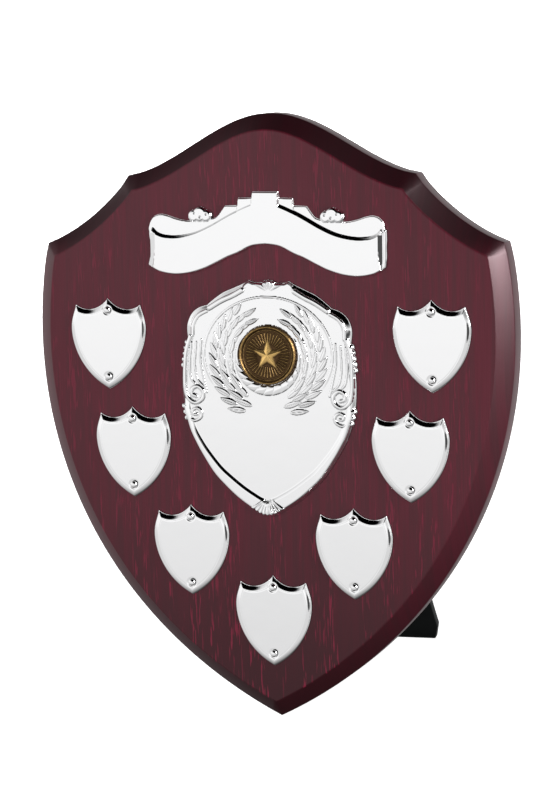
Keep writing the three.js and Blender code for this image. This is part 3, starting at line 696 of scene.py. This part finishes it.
# Half width and lift of each volute, column and moulding, and the points on its line
scrolled_lines = [
    (polyline(curved(path), closed=False), half_width, lift)
    for half_width, lift, path in (
        (0.95, 0.7, [
            (34.0, 25.4), (35.9, 19), (36.5, 11), (36.4, 4), (35.2, -0.6), (31.9, -2.6),
            (28.8, -0.8), (28.5, 2.3), (30.8, 4.3), (33.2, 3.2), (33.4, 1.0), (31.6, 0.2),
        ]),
        (0.75, 0.6, [
            (36.2, -4.2), (35.2, -8.4), (32.4, -10.1), (29.6, -8.8), (29.2, -6.4), (31, -4.9),
            (33, -5.8), (32.6, -7.4), (31.3, -7.5),
        ]),
        (0.55, 0.4, [(33.6, 22.5), (34.3, 14), (33.8, 8), (32.2, 5.6)]),
        (0.5, 0.35, [(31.4, 23), (32.0, 14), (31.0, 7.5), (28.2, 4.4)]),
        (0.5, 0.35, [(29.2, 24), (29.6, 16), (28.2, 8), (26.8, 2)]),
        (1.1, 0.5, [(11.4, 45.2), (15.4, 42.9), (20.4, 40.6), (25.6, 37.4)]),
        (0.8, 0.35, [(26.8, 36.2), (30.6, 34), (32.7, 30.4), (33, 26)]),
    )
]
CENTRE_BOX_MM = (-39.3, 39.3, -50.7, 50.3)
CENTRE_CELL_MM = 0.26
CENTRE_EDGE = 0.5
FIELD = 1.95
DISC_SEAT = 1.6
CENTRE_HEIGHT = 0.1365
CENTRE_TILT = math.radians(-1.3)
# Radius of each row of leaves, its first and last angle, their number and their lean
LEAF_ROWS = ((16.2, -64, 64, 10, 0.28), (19.1, -72, 68, 12, 0.0), (22.1, -68, 58, 12, -0.28))
LEAF_LENGTH = 8.2
LEAF_WIDTH = 2.9


def leaf(x, y, base, heading, length, width):
    """Height of a flat almond-shaped leaf with a sunk midrib"""
    along = ((x - base[0]) * math.cos(heading) + (y - base[1]) * math.sin(heading)) / length
    aside = -(x - base[0]) * math.sin(heading) + (y - base[1]) * math.cos(heading)
    half = width / 2 * np.sin(math.pi * np.clip(along, 0, 1) ** 0.8) ** 0.75 + 1e-3
    body = np.clip(1 - (aside / half) ** 4, 0, 1) * (1 - 0.3 * np.exp(-((aside / 0.2) ** 2)))
    return np.where((along > 0) & (along < 1), body, 0)


def shell_fan(x, y, shell):
    """Reach from a fluted shell's root, and its flutes' height, 0 beside the shell"""
    root_x, root_y, _, heading, flutes, spread = shell
    turn = np.arctan2(y - root_y, x - root_x) - heading
    turn = (turn + math.pi) % (2 * math.pi) - math.pi
    flute = np.abs(np.cos(turn / spread * math.pi * flutes)) ** 0.7
    return np.hypot(x - root_x, y - root_y), np.where(np.abs(turn) < spread / 2, flute, 0)


def centre_shape(x, y):
    across = np.abs(x)
    shape = centre_edge(x, y)
    for bead_x, bead_y in BEADS:
        shape = np.minimum(shape, np.hypot(across - bead_x, y - bead_y) - BEAD_RADIUS)
    for shell in (FOOT_SHELL, HEAD_SHELL):
        out, flute = shell_fan(x, y, shell)
        shape = np.minimum(shape, out - shell[2] + 0.45 * (1 - flute))
    return shape


def laid(height, body, lift):
    """A raised detail laid on the field, where it has any body"""
    return np.where(body > 0.01, np.maximum(height, FIELD - 0.12 + lift * body), height)


def centre_relief(x, y, depth):
    # The edge is a wide slope on the upper half and a rolled rim, wider to the foot, on the lower
    across = np.abs(x)
    low = rise(-y, -6, 8)
    crown = rise(-across, -12.5, -9.5) * rise(y, 30, 40)
    edge_share = np.clip(depth / (2.9 - 1.6 * low - 2.0 * crown), 0, 1)
    height = CENTRE_EDGE + (FIELD - CENTRE_EDGE) * (1 - (1 - edge_share) ** (1.3 + 0.7 * low))
    rim_width = 2.1 + 3.6 * rise(-y, 12, 48)
    roll = rise(depth, 0.2, 1.6) * rise(-depth, -rim_width - 1.8, -rim_width)
    roll += 0.1 * np.exp(-(((depth - rim_width - 0.9) / 0.24) ** 2))
    height += 0.62 * low * roll
    inner_line = np.exp(-(((depth - 1.7) / 0.3) ** 2)) * (1 - low) * rise(across, 9, 12)
    height += 0.14 * inner_line * rise(y, 26, 34)

    # A fine oval line runs round the laurel wreath
    oval = np.abs(np.hypot(across / 28, (y - MEDALLION[1]) / 24.4) - 1) * 26
    height += 0.22 * bulge(oval, 0.5) * rise(y, 4, 14)
    for radius, first, last, count, lean in LEAF_ROWS:
        for k in range(count):
            start = math.radians(first + (last - first) * k / count)
            flared = radius + 3.5 * (1 - k / count) ** 3
            base = (flared * math.cos(start), MEDALLION[1] + flared * math.sin(start))
            size = 1 - 0.22 * k / count
            heading = start + math.pi / 2 + lean
            one = leaf(across, y, base, heading, LEAF_LENGTH * size, LEAF_WIDTH * size)
            height = laid(height, one, 0.46 + 0.2 * (k % 2))

    # A twisted rope carries the disc from below
    from_middle = np.hypot(x - MEDALLION[0], y - MEDALLION[1])
    around = np.arctan2(y - MEDALLION[1], x - MEDALLION[0])
    under = 0.5 - 0.5 * np.sin(around)
    in_rope = (from_middle - 12.7) / (0.9 + 3.4 * under ** 2.2)
    strand = np.abs(np.cos(around * 13 + in_rope * 1.7)) ** 0.5
    rope = bulge(2 * in_rope - 1, 1) * (1 - 0.45 * rise(under, 0.5, 0.75) * (1 - strand))
    height = laid(height, rope * rise(under, 0.12, 0.4), 0.75)

    # Volutes, columns, beads and the two shells
    for distance, half_width, lift in scrolled_lines:
        height = laid(height, bulge(distance(across, y), half_width), lift + 0.12)
    for bead_x, bead_y in BEADS:
        from_bead = np.hypot(across - bead_x, y - bead_y)
        bead = np.maximum(height, 1.1 + 1.2 * bulge(from_bead, 1.3))
        height = np.where(from_bead < 1.3, bead, height)
    for shell, lift in ((FOOT_SHELL, 0.55), (HEAD_SHELL, 0.35)):
        out, flute = shell_fan(x, y, shell)
        height += lift * flute * rise(out, 0.2 * shell[2], 0.8 * shell[2]) * rise(depth, -0.3, 1)
    return np.where(from_middle < 12.75, np.minimum(height, DISC_SEAT), height)


bm = pressed(centre_shape, centre_relief, CENTRE_BOX_MM, CENTRE_CELL_MM)
ON_CENTRE = (
    ON_BOARD @ Matrix.Translation((0, CENTRE_HEIGHT, SEAT)) @ Matrix.Rotation(CENTRE_TILT, 4, "Z")
)
fitted("centre_shield_embossed", bm, ON_CENTRE, chrome.owner, "shield", "chromed_plate",
       "centre_shield")


# The bronze centre is a struck disc with a rolled rim, a five-pointed star and fine rays. It is
# dark in its recesses and rubbed bright on top.
DISC_RADIUS = 12.5
DISC_BOX_MM = (-12.6, 12.6, -12.6, 12.6)
DISC_CELL_MM = 0.2
DISC_FIELD = 1.2
DISC_RELIEF = 1.1
DISC_RIM_FROM = 0.0108
RAYS = 20
STAR_TIP, STAR_NOTCH = 7.9, 3.2


def disc_shape(x, y):
    return np.hypot(x, y) - DISC_RADIUS


def disc_relief(x, y, depth):
    out = np.hypot(x, y)
    turn = np.arctan2(x, y)
    rim = DISC_FIELD + DISC_RELIEF * bulge(out - 11.75, 0.6)
    height = np.maximum(rim, DISC_FIELD + 0.3 * bulge(out - 10.6, 0.3))
    ray = np.abs(np.cos(turn * RAYS)) ** 3
    height += 0.35 * ray * rise(out, 4, 5.5) * rise(-out, -9.7, -9.2)
    arm = (turn * 5 / (2 * math.pi) + 0.5) % 1 - 0.5
    angle = np.abs(arm) * 2 * math.pi / 5
    half_step = math.pi / 5
    star_edge = STAR_TIP * STAR_NOTCH * math.sin(half_step) / (
        STAR_TIP * np.sin(angle) + STAR_NOTCH * np.sin(half_step - angle)
    )
    star = np.clip(1 - out / star_edge, 0, 1)
    return np.maximum(height, np.where(star > 0, 1.25 + 1.25 * star ** 0.9, 0))


bm = pressed(disc_shape, disc_relief, DISC_BOX_MM, DISC_CELL_MM)
BRONZE_RECESS = (0.09, 0.05, 0.021)
BRONZE_RUBBED = (0.95, 0.62, 0.22)
bronze = Finish("antique_bronze")
struck_share = bronze.node("ShaderNodeAttribute", {"attribute_name": "struck"}, output=2)
patina = bronze.noise(bronze.on_board(), 900, 3)
rubbed = (struck_share + 0.3 * (patina - 0.5)).above(0.14, 0.6)
bronze.surface(
    bump=patina,
    bump_depth=0.00003,
    Base_Color=bronze.mix(rubbed, BRONZE_RECESS, BRONZE_RUBBED),
    Metallic=0.9,
    Roughness=0.45 - 0.2 * rubbed,
)
place = ON_CENTRE @ Matrix.Translation((0, MEDALLION[1] / 1000, 0.0014))
struck_shares = [
    min(1, max(0, (vert.co.z * 1000 - DISC_FIELD) / DISC_RELIEF))
    * (0.32 if vert.co.xy.length > DISC_RIM_FROM else 1)
    for vert in bm.verts
]
disc = fitted("centre_disc_struck", bm, place, bronze.owner, "shield", "antique_bronze",
              "centre_disc")
struck = disc.data.attributes.new("struck", "FLOAT", "POINT")
struck.data.foreach_set("value", struck_shares)


# The easel strut is thin board, painted black, with clipped lower corners and a level sole. It
# hangs from its hinge and opens until a lug on the hinge stops it.
ON_HINGE = ON_BOARD @ Matrix.Translation(HINGE_ON_BOARD)
STRUT_OPEN = math.radians(26.487)
ON_STRUT = ON_HINGE @ Matrix.Rotation(STRUT_OPEN, 4, "X")
STRUT_LENGTH = 0.17913
STRUT_HALF_THICKNESS = 0.002
STRUT_HALF_TOP = 0.025
STRUT_HALF_WIDTH = 0.0455
STRUT_HALF_SOLE = 0.0437
CLIPPED_CORNER = 0.007
STRUT_ARRIS = 0.0004
LEAF_START = 0.0034
strut_half = (
    (STRUT_HALF_SOLE, -STRUT_LENGTH), (STRUT_HALF_WIDTH, CLIPPED_CORNER - STRUT_LENGTH),
    (STRUT_HALF_TOP, -LEAF_START),
)
strut_outline = [Vector((x, y, 0)) for x, y in both_sides(strut_half, strut_half)]
bm, _ = slab(strut_outline, -STRUT_HALF_THICKNESS, STRUT_HALF_THICKNESS)
sole_slope = math.tan(STRUT_OPEN - LEAN)
for vert in bm.verts:
    if vert.co.y < -STRUT_LENGTH + STRUT_ARRIS:
        vert.co.y += vert.co.z * sole_slope
bmesh.ops.bevel(
    bm, geom=list(bm.edges), offset=STRUT_ARRIS, affect="EDGES", segments=2, profile=0.5,
    material=-1,
)
black_paint = Finish("black_paint")
board_fibres = black_paint.noise(black_paint.on_board(), 700, 4, 0.6)
black_paint.surface(
    bump=board_fibres,
    bump_depth=0.00004,
    Base_Color=black_paint.mix(board_fibres, (0.001, 0.0015, 0.0015), (0.004, 0.005, 0.005)),
    Roughness=0.4 + 0.15 * board_fibres,
    IOR=1.25,
)
fitted("easel_strut_painted", bm, ON_STRUT, black_paint.owner, "strut", "black_paint",
       "easel_strut")


# The hinge is zinc plated: two stamped leaves with rolled knuckles on one pin, two screws in the
# board and two rivets through the strut. A lug on the strut's leaf stops against the other leaf.
def plate(low, high, bottom, top, corner=0.0015):
    """A stamped plate between two corners, with rounded corners and edges"""
    points = []
    for k, (side_x, side_y) in enumerate(((1, -1), (1, 1), (-1, 1), (-1, -1))):
        centre_x = (high if side_x > 0 else low)[0] - side_x * corner
        centre_y = (high if side_y > 0 else low)[1] - side_y * corner
        for step in range(5):
            turn = math.radians(90 * (k - 1) + 22.5 * step)
            points.append(Vector((
                centre_x + corner * math.cos(turn), centre_y + corner * math.sin(turn), 0
            )))
    bm, _ = slab(points, bottom, top)
    round_loops(bm, 0.0001)
    return bm


def rod_across(radius, start, end):
    """A chamfered rod along the hinge's axis"""
    ease = radius * 0.08
    bm = turned(
        [(0, start), (radius - ease, start), (radius, start + ease), (radius, end - ease),
         (radius - ease, end), (0, end)], 36
    )
    bmesh.ops.rotate(bm, verts=bm.verts, matrix=Matrix.Rotation(math.pi / 2, 3, "Y"))
    return bm


def combined(parts, cutters):
    """One closed piece from overlapping ones, with the cutters taken out of it"""
    blanks = []
    for bm in (*parts, *cutters):
        bmesh.ops.recalc_face_normals(bm, faces=bm.faces)
        mesh = bpy.data.meshes.new("blank")
        bm.to_mesh(mesh)
        bm.free()
        blanks.append(bpy.data.objects.new("blank", mesh))
        bpy.context.scene.collection.objects.link(blanks[-1])
    for k, blank in enumerate(blanks[1:], 1):
        step = blanks[0].modifiers.new("step", "BOOLEAN")
        step.solver = "EXACT"
        step.operation = "UNION" if k < len(parts) else "DIFFERENCE"
        step.object = blank
    whole = blanks[0].evaluated_get(bpy.context.evaluated_depsgraph_get())
    bm = bmesh.new()
    bm.from_mesh(whole.to_mesh())
    whole.to_mesh_clear()
    for blank in blanks:
        mesh = blank.data
        bpy.data.objects.remove(blank)
        bpy.data.meshes.remove(mesh)
    bmesh.ops.remove_doubles(bm, verts=bm.verts, dist=1e-6)
    return bm


zinc = Finish("zinc_plate")
spangle = zinc.noise(zinc.on_board(), 500, 2)
zinc.surface(
    bump=spangle,
    bump_depth=0.00002,
    Base_Color=zinc.mix(spangle, (0.42, 0.42, 0.44), (0.66, 0.66, 0.68)),
    Metallic=0.95,
    Roughness=0.3 + 0.2 * spangle,
)
HINGE_HALF = 0.022
LEAF_END = 0.017
BOARD_LEAF_HEIGHTS = (0.002, 0.003)
STRUT_LEAF_HEIGHTS = (-0.00325, -0.00225)
KNUCKLE_RADIUS = 0.00298
OUTER_KNUCKLES_FROM = 0.0104
MIDDLE_KNUCKLE_HALF = 0.01
PIN_RADIUS = 0.0014
PIN_HALF = 0.023
PIN_BORE = 0.0015
FASTENER_BORE = 0.00125
FASTENERS = (("left", -0.015), ("right", 0.015))
FASTENER_HEIGHT = 0.0102
# A tab reaches under its knuckle and into its leaf, a hair thinner than the leaf
TAB_END = 0.006
TAB_EASE = 0.00002
TAB_CORNER = 0.0002


def bores(height):
    """Cutters for the pin's bore and for the holes of a leaf's two fasteners"""
    cutters = [rod_across(PIN_BORE, -0.03, 0.03)]
    for _, across in FASTENERS:
        cutter = turned([(0, -0.01), (FASTENER_BORE, -0.01), (FASTENER_BORE, 0.01), (0, 0.01)], 24)
        bmesh.ops.translate(cutter, verts=cutter.verts, vec=(across, height, 0))
        cutters.append(cutter)
    return cutters


low, high = BOARD_LEAF_HEIGHTS
board_leaf = [plate((-HINGE_HALF, LEAF_START), (HINGE_HALF, LEAF_END), low, high)]
for start, end in ((-HINGE_HALF, -OUTER_KNUCKLES_FROM), (OUTER_KNUCKLES_FROM, HINGE_HALF)):
    board_leaf.append(
        plate((start, 0), (end, TAB_END), low + TAB_EASE, high - TAB_EASE, TAB_CORNER)
    )
    board_leaf.append(rod_across(KNUCKLE_RADIUS, start, end))
fitted("hinge_board_leaf_rolled", combined(board_leaf, bores(FASTENER_HEIGHT)), ON_HINGE,
       zinc.owner, "shield", "zinc_steel", "hinge_board_leaf", sharp=30)

lug = plate((-0.007, 0.0005), (0.007, 0.007), 0.00075, 0.00175, 0.0008)
bmesh.ops.rotate(lug, verts=lug.verts, matrix=Matrix.Rotation(-STRUT_OPEN, 3, "X"))
low, high = STRUT_LEAF_HEIGHTS
strut_leaf = [
    plate((-HINGE_HALF, -LEAF_END), (HINGE_HALF, -LEAF_START), low, high),
    plate((-MIDDLE_KNUCKLE_HALF, -TAB_END), (MIDDLE_KNUCKLE_HALF, 0), low + TAB_EASE,
          high - TAB_EASE, TAB_CORNER),
    rod_across(KNUCKLE_RADIUS, -MIDDLE_KNUCKLE_HALF, MIDDLE_KNUCKLE_HALF),
    lug,
]
fitted("hinge_strut_leaf_rolled", combined(strut_leaf, bores(-FASTENER_HEIGHT)), ON_STRUT,
       zinc.owner, "strut", "zinc_steel", "hinge_strut_leaf", sharp=30)
fitted("hinge_pin_turned", rod_across(PIN_RADIUS, -PIN_HALF, PIN_HALF), ON_HINGE, zinc.owner,
       "shield", "zinc_steel", "hinge_pin")
for hand, across in FASTENERS:
    for name, on_leaf, height, seat, length, body in (
        ("board_screw", ON_HINGE, FASTENER_HEIGHT, 0.00175, 0.00875, "shield"),
        ("strut_rivet", ON_STRUT, -FASTENER_HEIGHT, -0.0035, 0.00525, "strut"),
    ):
        bm = turned(domed(radius=0.0022, height=0.0013, shank=0.001, length=length), PIN_SIDES)
        place = on_leaf @ Matrix.Translation((across, height, seat))
        place = place @ Matrix.Rotation(math.pi, 4, "Y")
        fitted(f"{name}_{hand}_domed", bm, place, zinc.owner, body, "zinc_steel",
               f"{name}_{hand}")
